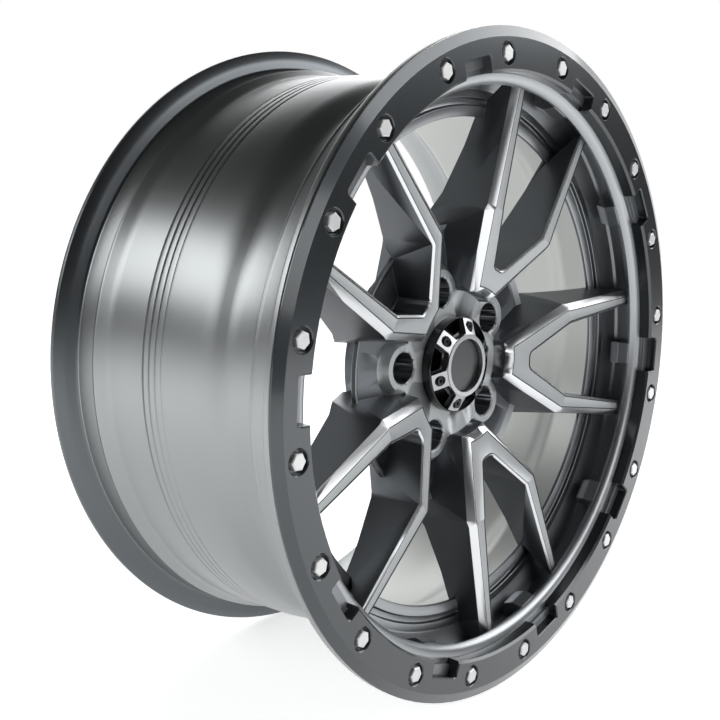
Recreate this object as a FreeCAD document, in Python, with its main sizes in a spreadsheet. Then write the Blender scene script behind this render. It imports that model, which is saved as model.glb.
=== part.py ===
"""Alloy wheel with five V spokes and a bolted bead ring, as a parametric document.

The wheel's axle runs along Y. The styled face looks along -Y, +Z is up, and one V spoke
points along +X. The origin is the middle of the overall width on the axle.
Depths are measured along +Y from the front face of the bead ring.
"""
import FreeCAD, Part
import os
import re

import Sketcher

SIZES = {
    # Overall width and the bead ring, a 20 inch by 9 inch wheel
    "wheel_depth": 254.6,
    "overrun": 10.0,
    "ring_outer_r": 269.0,
    "ring_width": 33.5,
    "ring_bevel_w": 8.0,
    "ring_bevel_d": 3.2,
    "ring_lip_d": 4.4,
    "ring_body_d": 8.6,
    "ring_skirt_d": 11.6,
    "ring_skirt_w": 4.0,
    "ring_pilot_w": 11.0,
    "ring_edge_chamfer": 2.0,
    "ring_fit": 0.3,
    "seam_gap": 0.8,
    # Notches in the ring's inner edge, each with a block of the casting behind it
    "notch_count": 10,
    "notch_width": 33.0,
    "notch_depth": 12.5,
    "notch_corner_r": 2.5,
    "notch_chamfer": 1.0,
    # Ring bolts
    "bolts_per_notch": 2,
    "bolt_inset": 20.0,
    "bolt_proud": 0.6,
    "bolt_head_af": 11.0,
    "bolt_chamfer": 0.7,
    "bolt_recess_r": 8.6,
    "bolt_recess_d": 4.2,
    "bolt_recess_chamfer": 0.8,
    "bolt_shank_r": 3.0,
    "bolt_end_d": 15.0,
    "bolt_fit": 0.2,
    "tap_spare": 1.0,
    # Front flange, bead seats and barrel
    "flange_edge": 0.6,
    "flange_band_d": 10.2,
    "flange_round_w": 3.0,
    "flange_round_d": 2.4,
    "flange_wall_d": 16.6,
    "flange_h": 15.35,
    "front_hump_d": 38.6,
    "hump_h": 0.8,
    "hump_w": 3.0,
    "seat_fall": 1.9,
    "seat_corner": 1.5,
    "well_drop": 26.15,
    "well_front_d": 58.0,
    "well_rear_d": 89.0,
    "step_drop": 16.05,
    "step_d": 106.0,
    "barrel_mid_drop": 10.45,
    "barrel_mid_d": 147.0,
    "barrel_rear_drop": 7.65,
    "barrel_rear_w": 11.0,
    "rear_seat_w": 18.5,
    "rear_wall_w": 15.1,
    "rear_flange_h": 17.75,
    "rear_flange_w": 7.0,
    "rear_flange_fall": 8.0,
    "rear_flange_back": 4.0,
    "rear_lip_drop": 4.15,
    "rear_lip_fall": 2.0,
    "wall": 7.0,
    # Fine turned grooves round the barrel
    "groove_count": 4,
    "groove_w": 2.4,
    "groove_h": 1.2,
    "groove_pitch": 7.0,
    "groove_first_d": 148.0,
    # Inner front rim seen behind the ring, as steps in from the ring's inner edge
    "bead_start": 0.3,
    "bead_in": 5.5,
    "bead_d": 13.4,
    "bead_round_r": 6.0,
    "nose_in": 9.0,
    "nose_d": 18.0,
    "pocket_edge_in": 6.0,
    "pocket_edge_d": 22.3,
    "pocket_out": 6.5,
    "pocket_front_d": 27.0,
    "pocket_rear_d": 41.0,
    "shoulder_in": 9.5,
    "shoulder_d": 48.0,
    "shoulder_w": 6.7,
    "furrow_w": 6.5,
    "furrow_d": 3.4,
    "furrow_side": 0.9,
    "crest_in": 31.0,
    "crest_fall": 1.6,
    "crest_w": 3.0,
    # Blocks on the inner rim
    "block_in": 2.0,
    "block_front_d": 32.5,
    "block_w": 19.0,
    "block_l": 13.0,
    "block_edge": 1.0,
    "block_root": 3.0,
    # Hub
    "hub_bore_r": 35.75,
    "cap_bore_r": 37.2,
    "cap_bore_d": 92.0,
    "bore_chamfer": 2.0,
    "hub_face_d": 112.1,
    "hub_face_r": 85.0,
    "pad_d": 66.1,
    "pad_r": 64.0,
    "floor_d": 73.6,
    "lip_r": 118.0,
    "lip_w": 6.0,
    "lip_h": 4.0,
    "lip_nose": 1.0,
    "web_back_d": 92.0,
    "web_back_inner_d": 102.0,
    "relief_r": 14.0,
    "relief_d": 24.0,
    # Lug bosses and seats, five on a 127 mm circle
    "lug_count": 5,
    "lug_circle_r": 63.5,
    "lug_boss_r": 19.5,
    "lug_boss_foot": 6.0,
    "lug_pocket_r": 13.0,
    "lug_mouth": 1.5,
    "lug_hole_r": 7.6,
    "lug_seat_d": 94.0,
    "lug_seat_step": 1.0,
    "lug_seat_h": 6.0,
    "lug_seat_r": 11.0,
    # V spokes, given where the tapered walls cross the plan plane
    "spoke_count": 5,
    "plan_clear": 1.1,
    "spoke_draft": 8.0,
    "spoke_start_x": 50.0,
    "spoke_start_z": 3.1,
    "spoke_kink_x": 120.8,
    "spoke_kink_z": 48.7,
    "spoke_reach": 19.5,
    "spoke_tip_z": 65.0,
    "spoke_bevel": 4.8,
    "root_r": 62.4,
    "crown_root_x": 61.7,
    "crown_root_d": 49.2,
    "crown_kink_x": 124.7,
    "crown_kink_d": 27.0,
    "crown_tip_d": 22.0,
    "back_hub_x": 96.0,
    "back_hub_d": 96.0,
    "back_kink_x": 132.0,
    "back_kink_d": 75.0,
    "back_mid_x": 172.0,
    "back_mid_d": 62.0,
    "back_tip_d": 43.2,
    # Window inside each V
    "window_crotch_x": 86.0,
    "window_crotch_z": 6.0,
    "window_kink_x": 126.9,
    "window_kink_z": 32.4,
    "window_tip_z": 54.2,
    "window_corner_r": 6.0,
    "window_bevel": 1.8,
    # Valve hole through the front wall of the drop well, opposite the first V spoke
    "valve_r": 5.65,
    "valve_in": 3.5,
    "valve_tilt": 34.0,
    "valve_reach": 40.0,
    # Centre cap, with heights in front of the hub's pad
    "cap_r": 41.0,
    "cap_rim_h": 8.6,
    "cap_edge": 0.5,
    "cap_rim_w": 1.0,
    "cap_seat_h": 8.0,
    "cap_back": 1.5,
    "cap_fit": 0.3,
    "cap_skirt_wall": 3.0,
    "cap_skirt_l": 19.9,
    "cap_slot_count": 6,
    "cap_slot_w": 6.0,
    "cap_slot_l": 12.0,
    "cap_pocket_h": 2.6,
    "cap_outline_w": 1.4,
    "arm_count": 6,
    "spider_in_r": 22.6,
    "spider_ring_w": 3.8,
    "spider_ring_h": 16.3,
    "spider_root_h": 15.5,
    "spider_tip_h": 9.1,
    "spider_plate": 5.0,
    "spider_arm_w": 14.0,
    "spider_fit": 0.2,
    "spider_phase": 20.0,
    "screw_circle_r": 33.0,
    "screw_head_r": 4.0,
    "screw_head_fit": 0.4,
    "screw_shank_r": 1.9,
    "screw_shank_fit": 0.1,
    "screw_head_h": 12.9,
    "screw_seat_h": 9.9,
    "screw_end_h": 3.6,
    "screw_socket_af": 3.0,
    "screw_socket_h": 1.2,
    "insert_h": 12.0,
    "insert_fit": 0.2,
    "insert_edge": 0.8,
}

BOLT_COUNT = "notch_count * bolts_per_notch"
RING_IN = "(ring_outer_r - ring_width)"
RING_PILOT = "(ring_outer_r - ring_pilot_w)"
NOTCH_OUT = f"({RING_IN} + notch_depth)"
BOLT_CIRCLE = "(ring_outer_r - bolt_inset)"
SEAT_R = "(ring_outer_r - flange_h)"
WELL_R = f"({SEAT_R} - well_drop)"
BARREL_R = f"({SEAT_R} - barrel_mid_drop)"
REAR_FLANGE_R = f"({SEAT_R} + rear_flange_h)"
REAR_SEAT_D = "(wheel_depth - rear_wall_w)"
REAR_HUMP_D = f"({REAR_SEAT_D} - rear_seat_w)"
FURROW_R = f"({RING_IN} - shoulder_in - shoulder_w)"
SPOKE_TIP = f"({RING_IN} + spoke_reach)"
WINDOW_TIP = f"({SPOKE_TIP} + overrun)"
PLAN_D = "(crown_tip_d - plan_clear)"
SPIDER_OUT = "(spider_in_r + spider_ring_w)"
CAP_IN = "(cap_r - cap_rim_w)"
SKIRT_R = "(cap_bore_r - cap_fit)"
SKIRT_D = "(pad_d + cap_skirt_l)"

doc = FreeCAD.newDocument("alloy_wheel")


# Driving dimensions

def fill_sheet():
    """Put every driving dimension in the sheet, one aliased cell to each."""
    sheet = doc.addObject("Spreadsheet::Sheet", "sizes")
    for row, (alias, value) in enumerate(SIZES.items(), start=1):
        sheet.set(f"A{row}", alias)
        sheet.set(f"B{row}", str(value))
        sheet.setAlias(f"B{row}", alias)
    doc.recompute()


def bound(text):
    """Return an expression in which each alias refers to the sheet."""
    return re.sub(r"[a-z][a-z_0-9]*", lambda m: "sizes." + m[0] if m[0] in SIZES else m[0], text)


def depth(text):
    """Return the Y coordinate, as an expression, of a depth behind the ring's face."""
    return f"(bolt_proud - wheel_depth) / 2 + ({text})"


# Sketches and features

def new_body(label):
    """Make a body that may hold several separate solids."""
    body = doc.addObject("PartDesign::Body", label)
    body.Label = label
    body.AllowCompound = True
    return body


def origin(body, role):
    """Return one of a body's own origin planes or axes."""
    return next(item for item in body.Origin.OriginFeatures if item.Role == role)


def new_sketch(body, name, plane, offset=None):
    """Make a sketch on one of the body's origin planes, moved along its normal."""
    sketch = body.newObject("Sketcher::SketchObject", name)
    sketch.AttachmentSupport = (origin(body, plane), [""])
    sketch.MapMode = "FlatFace"
    if offset:
        sketch.setExpression(".AttachmentOffset.Base.z", bound(offset))
    return sketch


def pin_point(sketch, geometry, position, across, up):
    """Tie one point of a sketch to two expressions."""
    for kind, text, axis in (("DistanceX", across, -2), ("DistanceY", up, -1)):
        if text == "0":
            sketch.addConstraint(Sketcher.Constraint("PointOnObject", geometry, position, axis))
        else:
            index = sketch.addConstraint(Sketcher.Constraint(kind, -1, 1, geometry, position, 1.0))
            sketch.setExpression(f"Constraints[{index}]", bound(text))


def add_outline(sketch, points):
    """Draw a closed outline of straight lines through points given as expressions."""
    start = [FreeCAD.Vector(10, 0, 0)]
    turn = FreeCAD.Rotation(FreeCAD.Vector(0, 0, 1), 360 / len(points))
    while len(start) < len(points):
        start.append(turn.multVec(start[-1]))
    lines = [Part.LineSegment(a, b) for a, b in zip(start, start[1:] + start[:1])]
    first = sketch.addGeometry(lines, False)[0]
    for index in range(len(lines)):
        following = first + (index + 1) % len(lines)
        sketch.addConstraint(Sketcher.Constraint("Coincident", first + index, 2, following, 1))
    for index, (across, up) in enumerate(points):
        pin_point(sketch, first + index, 1, across, up)


def mirrored(points):
    """Return points above an axis together with their reflections below it."""
    return [(across, f"-({up})") for across, up in reversed(points)] + points


def around(radius, angle):
    """Return a place on a circle about the axle as expressions; the angle is in degrees."""
    return f"({radius}) * cos(({angle}) * 1 deg)", f"({radius}) * sin(({angle}) * 1 deg)"


def add_circle(sketch, across, up, radius):
    """Draw a circle whose centre and radius are expressions."""
    middle = FreeCAD.Vector(0, 0, 0)
    circle = sketch.addGeometry(Part.Circle(middle, FreeCAD.Vector(0, 0, 1), 5), False)
    pin_point(sketch, circle, 3, across, up)
    index = sketch.addConstraint(Sketcher.Constraint("Radius", circle, 5.0))
    sketch.setExpression(f"Constraints[{index}]", bound(radius))


def bolt_place():
    """Return the place of the first ring bolt, half a step past the first notch."""
    return around(BOLT_CIRCLE, f"180 / ({BOLT_COUNT})")


def section(body, name, points):
    """Sketch a half section of a turned form: radius across, depth up."""
    sketch = new_sketch(body, name, "XY_Plane")
    add_outline(sketch, [(radius, depth(back)) for radius, back in points])
    return sketch


def lug_section(body, name, points):
    """Sketch a half section about the axis of the lug seat on the -X side."""
    sketch = section(body, name, points)
    sketch.setExpression(".AttachmentOffset.Base.x", bound("-lug_circle_r"))
    return sketch


def bolt_section(body, name, points):
    """Sketch a half section about the axis of the first ring bolt."""
    sketch = section(body, name, points)
    across, up = bolt_place()
    sketch.setExpression(".AttachmentOffset.Base.x", bound(across))
    sketch.setExpression(".AttachmentOffset.Base.z", bound(up))
    return sketch


def turn(body, name, sketch, kind="Revolution"):
    """Turn a sketch right round its own vertical axis."""
    feature = body.newObject(f"PartDesign::{kind}", name)
    feature.Profile = sketch
    feature.ReferenceAxis = (sketch, ["V_Axis"])
    feature.Angle = 360
    return feature


def face_sketch(body, name, back):
    """Make a sketch seen from the front, on the plane at a depth."""
    return new_sketch(body, name, "XZ_Plane", f"-({depth(back)})")


def pad(body, name, sketch, length, rearward=True):
    """Extrude a front-view sketch along the axle."""
    feature = body.newObject("PartDesign::Pad", name)
    feature.Profile = sketch
    feature.setExpression("Length", bound(length))
    feature.Reversed = rearward
    return feature


def pocket(body, name, sketch, length, rearward=True):
    """Cut a front-view sketch along the axle."""
    feature = body.newObject("PartDesign::Pocket", name)
    feature.Profile = sketch
    feature.setExpression("Length", bound(length))
    feature.Reversed = not rearward
    return feature


def side_cut(body, name, points):
    """Cut a side-view outline right through, both ways along Z."""
    feature = body.newObject("PartDesign::Pocket", name)
    feature.Profile = section(body, name + "_side", points)
    feature.setExpression("Length", bound("2 * ring_outer_r"))
    feature.Midplane = True
    return feature


def polar(body, name, features, count, whole=False):
    """Repeat features, or the whole body so far, round the axle."""
    doc.recompute()
    pattern = body.newObject("PartDesign::PolarPattern", name)
    if whole:
        pattern.TransformMode = "Whole shape"
    else:
        pattern.Originals = features
    pattern.Axis = (origin(body, "Y_Axis"), [""])
    pattern.Angle = 360
    pattern.setExpression("Occurrences", bound(count))
    body.Tip = pattern
    return pattern


def dress(body, kind, name, base, wanted, size):
    """Fillet or chamfer the edges of the base feature that are wanted."""
    doc.recompute()
    edges = [f"Edge{i}" for i, edge in enumerate(base.Shape.Edges, start=1) if wanted(edge)]
    feature = body.newObject(f"PartDesign::{kind}", name)
    feature.Base = (base, edges)
    feature.setExpression("Size" if kind == "Chamfer" else "Radius", bound(size))
    return feature


def value(alias):
    """Return a driving dimension as the sheet holds it."""
    return float(getattr(doc.sizes, alias))


def depth_of(point):
    """Return how far a point lies behind the ring's face."""
    return point.y - (value("bolt_proud") - value("wheel_depth")) / 2


def radius_of(point):
    """Return a point's distance from the axle."""
    return (point.x ** 2 + point.z ** 2) ** 0.5


# The casting: V spokes, hub, rim and barrel

def tip_across():
    """Return how far out the V spoke's plan reaches."""
    return value("ring_outer_r") - value("ring_width") + value("spoke_reach")


def crown_depth(across):
    """Return the depth of the spoke's face at a distance along the V."""
    near = value("crown_root_x"), value("crown_root_d")
    far = value("crown_kink_x"), value("crown_kink_d")
    if across > far[0]:
        near, far = far, (tip_across(), value("crown_tip_d"))
    return near[1] + (across - near[0]) / (far[0] - near[0]) * (far[1] - near[1])


def on_crown(edge):
    """Tell whether an edge lies in the face of the spoke."""
    middle = edge.CenterOfMass
    return all(abs(depth_of(p.Point) - crown_depth(p.Point.x)) < 0.05 for p in edge.Vertexes) and (
        abs(depth_of(middle) - crown_depth(middle.x)) < 0.05)


def add_spokes(body):
    """Model one V spoke and repeat it round the axle."""
    plan = face_sketch(body, "spoke_plan", PLAN_D)
    add_outline(plan, mirrored([
        ("spoke_start_x", "spoke_start_z"),
        ("spoke_kink_x", "spoke_kink_z"),
        (SPOKE_TIP, "spoke_tip_z"),
    ]))
    blank = pad(body, "spoke_blank", plan, f"hub_face_d - {PLAN_D}")
    blank.setExpression("TaperAngle", bound("spoke_draft"))

    slope = "(crown_root_d - crown_kink_d) / (crown_kink_x - crown_root_x)"
    side_cut(body, "crown", [
        ("spoke_start_x - overrun", f"{PLAN_D} - overrun"),
        ("spoke_start_x - overrun",
         f"crown_root_d + (crown_root_x - spoke_start_x + overrun) * {slope}"),
        ("crown_kink_x", "crown_kink_d"),
        (SPOKE_TIP, "crown_tip_d"),
        (WINDOW_TIP, "crown_tip_d"),
        (WINDOW_TIP, f"{PLAN_D} - overrun"),
    ])
    side_cut(body, "spoke_back", [
        ("spoke_start_x - overrun", "hub_face_d + overrun"),
        ("spoke_start_x - overrun", "back_hub_d"),
        ("back_hub_x", "back_hub_d"),
        ("back_kink_x", "back_kink_d"),
        ("back_mid_x", "back_mid_d"),
        (SPOKE_TIP, "back_tip_d"),
        (WINDOW_TIP, "back_tip_d"),
        (WINDOW_TIP, "hub_face_d + overrun"),
    ])
    hub_circle = face_sketch(body, "root_circle", f"{PLAN_D} - overrun")
    add_circle(hub_circle, "0", "0", "root_r")
    root = pocket(body, "root_cut", hub_circle, "hub_face_d")

    def is_outer(edge):
        middle = edge.CenterOfMass
        half_width = value("window_kink_z") * (middle.x - value("root_r")) / value("window_kink_x")
        lengthwise = abs(edge.Vertexes[0].Point.x - edge.Vertexes[-1].Point.x) > 1
        return on_crown(edge) and lengthwise and abs(middle.z) > half_width

    bevel = dress(body, "Chamfer", "spoke_bevel", root, is_outer, "spoke_bevel")

    opening = face_sketch(body, "window_plan", f"{PLAN_D} - overrun")
    add_outline(opening, mirrored([
        ("window_crotch_x", "window_crotch_z"),
        ("window_kink_x", "window_kink_z"),
        (WINDOW_TIP, "window_tip_z"),
    ]))
    window = pocket(body, "window", opening, "hub_face_d")

    def is_crotch(edge):
        ends = [vertex.Point for vertex in edge.Vertexes]
        along_axle = len(ends) == 2 and abs(ends[0].x - ends[1].x) + abs(ends[0].z - ends[1].z) < 0.01
        return along_axle and abs(ends[0].x - value("window_crotch_x")) < 0.01

    rounded = dress(body, "Fillet", "window_corners", window, is_crotch, "window_corner_r")

    def is_window(edge):
        middle = edge.CenterOfMass
        inside = middle.x > value("window_crotch_x") - 0.1 and abs(middle.z) < value("window_tip_z") + 0.1
        lengthwise = abs(middle.z) < value("window_crotch_z") or abs(
            edge.Vertexes[0].Point.x - edge.Vertexes[-1].Point.x) > 0.5
        past_arm = abs(middle.z) > window_half_width(middle.x) + 0.3
        return on_crown(edge) and inside and lengthwise and not past_arm

    def window_half_width(across):
        near = value("window_crotch_x"), value("window_crotch_z")
        far = value("window_kink_x"), value("window_kink_z")
        if across > far[0]:
            near, far = far, (tip_across() + value("overrun"), value("window_tip_z"))
        return near[1] + (across - near[0]) / (far[0] - near[0]) * (far[1] - near[1])

    dress(body, "Chamfer", "window_bevel", rounded, is_window, "window_bevel")
    polar(body, "spokes", None, "spoke_count", whole=True)
    return turn(body, "spoke_ends", section(body, "spoke_end_section", [
        (f"{SEAT_R} - wall", f"{PLAN_D} - overrun"),
        (f"{SEAT_R} - wall", "pocket_rear_d"),
        (f"{WELL_R} - wall / 2", "well_front_d"),
        (f"{WELL_R} - wall / 2", "hub_face_d + overrun"),
        (f"{WINDOW_TIP} + 4 * overrun", "hub_face_d + overrun"),
        (f"{WINDOW_TIP} + 4 * overrun", f"{PLAN_D} - overrun"),
    ]), "Groove")


def add_hub(body):
    """Turn the hub, then add the lug bosses round it."""
    profile = section(body, "hub_section", [
        ("cap_bore_r", "pad_d"),
        ("pad_r", "pad_d"),
        ("pad_r", "floor_d"),
        ("lip_r - lip_w", "floor_d"),
        ("lip_r", "floor_d - lip_h"),
        ("lip_r + lip_nose", "floor_d"),
        ("hub_face_r", "web_back_inner_d"),
        ("hub_face_r", "hub_face_d"),
        ("hub_bore_r + bore_chamfer", "hub_face_d"),
        ("hub_bore_r", "hub_face_d - bore_chamfer"),
        ("hub_bore_r", "cap_bore_d"),
        ("cap_bore_r", "cap_bore_d"),
    ])
    turn(body, "hub", profile)
    boss_side = lug_section(body, "boss_side", [
        ("0", "pad_d"),
        ("lug_boss_r", "pad_d"),
        ("lug_boss_r + lug_boss_foot", "floor_d"),
        ("lug_boss_r", "web_back_d"),
        ("0", "web_back_d"),
    ])
    boss = turn(body, "lug_boss", boss_side)
    return polar(body, "lug_bosses", [boss], "lug_count")


def add_rim(body):
    """Turn the rim and barrel, with the rabbet that the bead ring sits in."""
    inner = [
        (f"{RING_PILOT} + ring_fit", "ring_body_d"),
        (f"{RING_IN} + ring_skirt_w + ring_fit", "ring_body_d"),
        (f"{RING_IN} + ring_skirt_w + ring_fit", "ring_skirt_d"),
        (f"{RING_IN} - bead_start", "ring_skirt_d"),
        (f"{RING_IN} - bead_in", "bead_d"),
        (f"{RING_IN} - nose_in", "nose_d"),
        (f"{RING_IN} - pocket_edge_in", "pocket_edge_d"),
        (f"{RING_IN} + pocket_out", "pocket_front_d"),
        (f"{RING_IN} + pocket_out", "pocket_rear_d"),
        (f"{RING_IN} - shoulder_in", "shoulder_d"),
        (FURROW_R, "shoulder_d"),
        (f"{FURROW_R} - furrow_side", "shoulder_d + furrow_d"),
        (f"{FURROW_R} - furrow_w + furrow_side", "shoulder_d + furrow_d"),
        (f"{FURROW_R} - furrow_w", "shoulder_d"),
        (f"{RING_IN} - crest_in", "shoulder_d + crest_fall"),
        (f"{RING_IN} - crest_in", "shoulder_d + crest_fall + crest_w"),
        (f"{WELL_R} - wall", "well_front_d"),
        (f"{WELL_R} - wall", "well_rear_d"),
        (f"{SEAT_R} - step_drop - wall", "step_d"),
        (f"{BARREL_R} - wall", "barrel_mid_d"),
        (f"{SEAT_R} - barrel_rear_drop - wall", f"{REAR_HUMP_D} - barrel_rear_w"),
        (f"{SEAT_R} - wall", REAR_HUMP_D),
        (f"{SEAT_R} - rear_lip_drop - rear_lip_fall", REAR_SEAT_D),
        (f"{SEAT_R} - rear_lip_drop", "wheel_depth"),
    ]
    outer = [
        (f"{REAR_FLANGE_R} - rear_flange_fall", "wheel_depth"),
        (REAR_FLANGE_R, "wheel_depth - rear_flange_w / 3"),
        (REAR_FLANGE_R, "wheel_depth - rear_flange_w"),
        (f"{REAR_FLANGE_R} - rear_flange_fall", "wheel_depth - rear_flange_w - rear_flange_back"),
        (f"{SEAT_R} + seat_corner", f"{REAR_SEAT_D} + seat_corner"),
        (SEAT_R, REAR_SEAT_D),
        (f"{SEAT_R} - seat_fall", f"{REAR_HUMP_D} + hump_w / 2"),
        (f"{SEAT_R} - seat_fall + hump_h", REAR_HUMP_D),
        (f"{SEAT_R} - seat_fall", f"{REAR_HUMP_D} - hump_w / 2"),
        (f"{SEAT_R} - barrel_rear_drop", f"{REAR_HUMP_D} - barrel_rear_w"),
        (BARREL_R, "barrel_mid_d"),
        (f"{SEAT_R} - step_drop", "step_d"),
        (WELL_R, "well_rear_d"),
        (WELL_R, "well_front_d"),
        (f"{SEAT_R} - seat_fall", "front_hump_d + hump_w"),
        (f"{SEAT_R} - seat_fall + hump_h", "front_hump_d + hump_w / 2"),
        (f"{SEAT_R} - seat_fall", "front_hump_d"),
        (SEAT_R, "flange_wall_d"),
        (f"{SEAT_R} + seat_corner", "flange_wall_d - seat_corner"),
        ("ring_outer_r - flange_round_w", "flange_band_d + flange_round_d"),
        ("ring_outer_r", "flange_band_d"),
        ("ring_outer_r", "ring_lip_d + seam_gap + flange_edge"),
        ("ring_outer_r - flange_edge", "ring_lip_d + seam_gap"),
        (f"{RING_PILOT} + ring_fit", "ring_lip_d + seam_gap"),
    ]
    rim = turn(body, "rim", section(body, "rim_section", inner + outer))

    def is_bead(edge):
        return abs(depth_of(edge.CenterOfMass) - value("bead_d")) < 0.01

    dress(body, "Fillet", "bead_round", rim, is_bead, "bead_round_r")

    groove = turn(body, "barrel_groove", section(body, "groove_section", [
        (f"{BARREL_R} + groove_w", "groove_first_d - groove_w / 2"),
        (f"{BARREL_R} + groove_w", "groove_first_d + groove_w / 2"),
        (f"{BARREL_R} - groove_h / 2", "groove_first_d + groove_w / 4"),
        (f"{BARREL_R} - groove_h / 2", "groove_first_d - groove_w / 4"),
    ]), "Groove")
    row = body.newObject("PartDesign::LinearPattern", "barrel_grooves")
    row.Originals = [groove]
    row.Direction = (origin(body, "Y_Axis"), [""])
    row.setExpression("Length", bound("(groove_count - 1) * groove_pitch"))
    row.setExpression("Occurrences", bound("groove_count"))
    body.Tip = row

    block = body.newObject("PartDesign::Pad", "block")
    block.Profile = section(body, "block_side", [
        (f"{RING_IN} - block_in", "block_front_d + block_edge"),
        (f"{RING_IN} - block_in + block_edge", "block_front_d"),
        (f"{RING_IN} + pocket_out + block_root", "block_front_d"),
        (f"{RING_IN} + pocket_out + block_root", "pocket_rear_d"),
        (f"{RING_IN} - block_in", "block_front_d + block_l"),
    ])
    block.setExpression("Length", bound("block_w"))
    block.Midplane = True
    return polar(body, "blocks", [block], "notch_count")


def cut_holes(body):
    """Cut the lug seats, the ring's tapped holes, the rear reliefs and the valve hole."""
    lug_cut = turn(body, "lug_seat", lug_section(body, "lug_side", [
        ("0", "pad_d - overrun"),
        ("lug_pocket_r + lug_mouth", "pad_d - overrun"),
        ("lug_pocket_r + lug_mouth", "pad_d"),
        ("lug_pocket_r", "pad_d + lug_mouth"),
        ("lug_pocket_r", "lug_seat_d - lug_seat_step"),
        ("lug_seat_r", "lug_seat_d"),
        ("lug_hole_r", "lug_seat_d + lug_seat_h"),
        ("lug_hole_r", "hub_face_d + overrun"),
        ("0", "hub_face_d + overrun"),
    ]), "Groove")
    polar(body, "lug_seats", [lug_cut], "lug_count")

    relief_plan = face_sketch(body, "relief_plan", "hub_face_d")
    add_circle(relief_plan, "lug_circle_r", "0", "relief_r")
    relief = pocket(body, "hub_relief", relief_plan, "relief_d", rearward=False)
    polar(body, "hub_reliefs", [relief], "lug_count")

    tap_plan = face_sketch(body, "tap_plan", "ring_body_d")
    add_circle(tap_plan, *bolt_place(), "bolt_shank_r + bolt_fit")
    tap = pocket(body, "tapped_hole", tap_plan, "bolt_end_d + tap_spare - ring_body_d")
    polar(body, "tapped_holes", [tap], BOLT_COUNT)

    valve = new_sketch(body, "valve_section", "XY_Plane")
    start_turn = FreeCAD.Rotation(FreeCAD.Vector(0, 0, 1), 1)
    valve.AttachmentOffset = FreeCAD.Placement(FreeCAD.Vector(), start_turn)
    valve.setExpression(".AttachmentOffset.Base.x", bound(f"-({WELL_R} - valve_in)"))
    valve.setExpression(".AttachmentOffset.Base.y", bound(depth("shoulder_d")))
    valve.setExpression(".AttachmentOffset.Rotation.Angle", bound("valve_tilt * 1 deg"))
    add_outline(valve, [
        ("0", "-valve_reach / 2"),
        ("valve_r", "-valve_reach / 2"),
        ("valve_r", "valve_reach / 2"),
        ("0", "valve_reach / 2"),
    ])
    return turn(body, "valve_hole", valve, "Groove")


def make_casting():
    """Model the one-piece casting."""
    body = new_body("wheel_casting")
    add_spokes(body)
    add_hub(body)
    add_rim(body)
    cut_holes(body)
    return body


# The bead ring and its bolts

def make_ring():
    """Model the bolted ring with its notches and bolt recesses."""
    body = new_body("bead_ring")
    turn(body, "ring", section(body, "ring_section", [
        (RING_IN, "ring_edge_chamfer"),
        (f"{RING_IN} + ring_edge_chamfer", "0"),
        ("ring_outer_r - ring_bevel_w", "0"),
        ("ring_outer_r", "ring_bevel_d"),
        ("ring_outer_r", "ring_lip_d"),
        (RING_PILOT, "ring_lip_d"),
        (RING_PILOT, "ring_body_d"),
        (f"{RING_IN} + ring_skirt_w", "ring_body_d"),
        (f"{RING_IN} + ring_skirt_w", "ring_skirt_d"),
        (RING_IN, "ring_skirt_d"),
    ]))
    notch_plan = face_sketch(body, "notch_plan", "-overrun")
    add_outline(notch_plan, [
        (f"{RING_IN} - overrun", "-notch_width / 2"),
        (NOTCH_OUT, "-notch_width / 2"),
        (NOTCH_OUT, "notch_width / 2"),
        (f"{RING_IN} - overrun", "notch_width / 2"),
    ])
    notch = pocket(body, "notch", notch_plan, "ring_skirt_d + 2 * overrun")
    notches = polar(body, "notches", [notch], "notch_count")
    notch_out = value("ring_outer_r") - value("ring_width") + value("notch_depth")

    def is_corner(edge):
        ends = [vertex.Point for vertex in edge.Vertexes]
        along_axle = len(ends) == 2 and abs(ends[0].x - ends[1].x) + abs(ends[0].z - ends[1].z) < 0.01
        return along_axle and radius_of(ends[0]) > notch_out

    corners = dress(body, "Fillet", "notch_corners", notches, is_corner, "notch_corner_r")

    def is_notch_edge(edge):
        middle = edge.CenterOfMass
        at_front = all(abs(depth_of(vertex.Point)) < 0.01 for vertex in edge.Vertexes)
        bevel_start = value("ring_outer_r") - value("ring_bevel_w")
        in_ring = notch_out - value("notch_depth") < radius_of(middle) < bevel_start - 1
        on_circle = abs(depth_of(middle)) < 0.01 and all(
            abs(radius_of(vertex.Point) - notch_out + value("notch_depth")
                - value("ring_edge_chamfer")) < 0.01 for vertex in edge.Vertexes)
        return at_front and in_ring and not on_circle

    dress(body, "Chamfer", "notch_edges", corners, is_notch_edge, "notch_chamfer")

    recess = turn(body, "recess", bolt_section(body, "recess_section", [
        ("0", "-overrun"),
        ("bolt_recess_r + bolt_recess_chamfer", "-overrun"),
        ("bolt_recess_r + bolt_recess_chamfer", "0"),
        ("bolt_recess_r", "bolt_recess_chamfer"),
        ("bolt_recess_r", "bolt_recess_d"),
        ("0", "bolt_recess_d"),
    ]), "Groove")
    polar(body, "recesses", [recess], BOLT_COUNT)
    hole_plan = face_sketch(body, "hole_plan", "0")
    add_circle(hole_plan, *bolt_place(), "bolt_shank_r + bolt_fit")
    hole = pocket(body, "bolt_hole", hole_plan, "ring_body_d + overrun")
    return polar(body, "bolt_holes", [hole], BOLT_COUNT)


def hexagon(across, up, flats):
    """Return the six corners of a hexagon about a centre, as expressions."""
    corners = [around(f"({flats}) / sqrt(3)", str(60 * step)) for step in range(6)]
    return [(f"{across} + {x}", f"{up} + {z}") for x, z in corners]


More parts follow.
